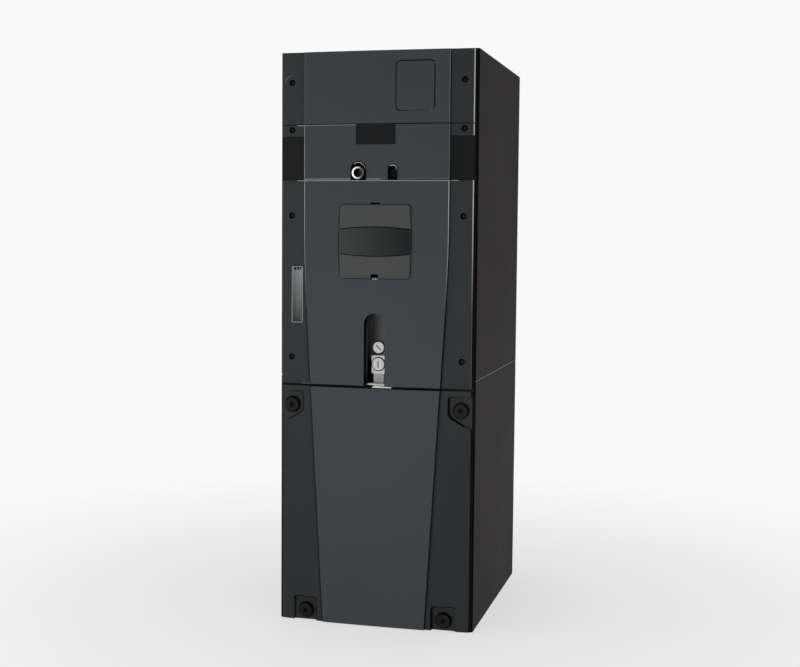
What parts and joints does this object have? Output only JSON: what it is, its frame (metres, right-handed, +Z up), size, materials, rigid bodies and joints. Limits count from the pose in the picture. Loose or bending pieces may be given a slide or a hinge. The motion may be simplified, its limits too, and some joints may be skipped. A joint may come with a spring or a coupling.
{
  "type": "air handler",
  "caption": "Upright indoor air handler: blower below, coil and drain pan in the middle, line connections and electric heater above, behind removable front panels.",
  "frame": {"origin": "middle of the footprint on the floor, under the whole object", "axes": "+Z up, front panels towards -Y, +X to the right seen from the front"},
  "size_m": [0.4444, 0.5576, 1.2668],
  "materials": {
    "cabinet_skin": "satin",
    "panel_plastic": "fine moulded texture",
    "black_plastic": "matte",
    "seal_rubber": "matte",
    "liner_foam": "matte",
    "bezel_plastic": "satin",
    "pan_plastic": "matte",
    "white_plastic": "satin",
    "zinc_steel": "zinc coated",
    "fin_aluminium": "bare",
    "tube_metal": "drawn tube",
    "valve_brass": "machined",
    "filter_card": "matte",
    "filter_paper": "matte",
    "board_green": "lacquered"
  },
  "bodies": {
    "cabinet": {"base_frame": "cabinet_skin", "lower_left_wall": "cabinet_skin", "lower_right_wall": "cabinet_skin", "lower_back_wall": "cabinet_skin", "blower_deck": "zinc_steel", "seam_gasket": "seal_rubber", "upper_left_wall": "cabinet_skin", "upper_right_wall": "cabinet_skin", "upper_back_wall": "cabinet_skin", "top_frame": "cabinet_skin", "front_frame": "black_plastic", "panel_gaskets": "seal_rubber", "heater_panel": "panel_plastic", "heater_liner": "liner_foam", "lineset_panel": "panel_plastic", "lineset_liner": "liner_foam", "coil_panel": "panel_plastic", "coil_liner": "liner_foam", "panel_screws": "zinc_steel", "side_bezel": "bezel_plastic", "badge_latch": "bezel_plastic", "drain_pan": "pan_plastic", "drain_fitting": "white_plastic", "drain_plugs": "white_plastic", "drain_seals": "seal_rubber", "coil_left_slab": "fin_aluminium", "coil_right_slab": "fin_aluminium", "coil_plates": "zinc_steel", "coil_return_bends": "tube_metal", "suction_line": "tube_metal", "liquid_line": "tube_metal", "metering_valve": "valve_brass", "filter_frame": "filter_card", "filter_media": "filter_paper", "slide_rails": "zinc_steel", "blower_housing": "zinc_steel", "motor_mount": "zinc_steel", "motor_body": "black_plastic", "control_box": "zinc_steel", "control_board": "board_green", "transformer": "black_plastic", "heater_plates": "zinc_steel", "heater_elements": "zinc_steel", "breaker_bodies": "black_plastic", "breaker_cover_pin": "zinc_steel", "knob_receivers": "zinc_steel"},
    "blower_rotor": {"wheel_blades": "zinc_steel", "wheel_rings": "zinc_steel", "wheel_hub": "zinc_steel", "motor_shaft": "zinc_steel"},
    "blower_door": {"blower_panel": "panel_plastic", "blower_liner": "liner_foam"},
    "knob_a": {"knob_top_left": "black_plastic"},
    "knob_b": {"knob_top_right": "black_plastic"},
    "knob_c": {"knob_low_left": "black_plastic"},
    "knob_d": {"knob_low_right": "black_plastic"},
    "badge": {"badge_cover": "panel_plastic"},
    "breaker_flap": {"breaker_cover": "panel_plastic"},
    "lever_left": {"breaker_handle_left": "black_plastic"},
    "lever_right": {"breaker_handle_right": "black_plastic"}
  },
  "joints": [
    {"name": "blower_spin", "type": "hinge", "parent": "cabinet", "child": "blower_rotor", "pos_m": [0, -0.00875, 0.3], "axis": [1, 0, 0], "continuous": true},
    {"name": "blower_door_pull", "type": "slide", "parent": "cabinet", "child": "blower_door", "axis": [0, -1, 0], "range_m": [0, 0.08]},
    {"name": "knob_a_turn", "type": "hinge", "parent": "blower_door", "child": "knob_a", "pos_m": [-0.1923, -0.25875, 0.49], "axis": [0, 1, 0], "range_deg": [0, 90]},
    {"name": "knob_b_turn", "type": "hinge", "parent": "blower_door", "child": "knob_b", "pos_m": [0.1923, -0.25875, 0.49], "axis": [0, 1, 0], "range_deg": [0, 90]},
    {"name": "knob_c_turn", "type": "hinge", "parent": "blower_door", "child": "knob_c", "pos_m": [-0.159, -0.25875, 0.024], "axis": [0, 1, 0], "range_deg": [0, 90]},
    {"name": "knob_d_turn", "type": "hinge", "parent": "blower_door", "child": "knob_d", "pos_m": [0.159, -0.25875, 0.024], "axis": [0, 1, 0], "range_deg": [0, 90]},
    {"name": "badge_pull", "type": "slide", "parent": "cabinet", "child": "badge", "axis": [0, -1, 0], "range_m": [0, 0.03]},
    {"name": "breaker_flap_hinge", "type": "hinge", "parent": "cabinet", "child": "breaker_flap", "pos_m": [0.087, -0.2693, 1.23145], "axis": [-1, 0, 0], "range_deg": [0, 95]},
    {"name": "lever_left_throw", "type": "hinge", "parent": "cabinet", "child": "lever_left", "pos_m": [0.0682, -0.23775, 1.1884], "axis": [1, 0, 0], "range_deg": [0, 40]},
    {"name": "lever_right_throw", "type": "hinge", "parent": "cabinet", "child": "lever_right", "pos_m": [0.1058, -0.23775, 1.1884], "axis": [1, 0, 0], "range_deg": [0, 40]}
  ]
}
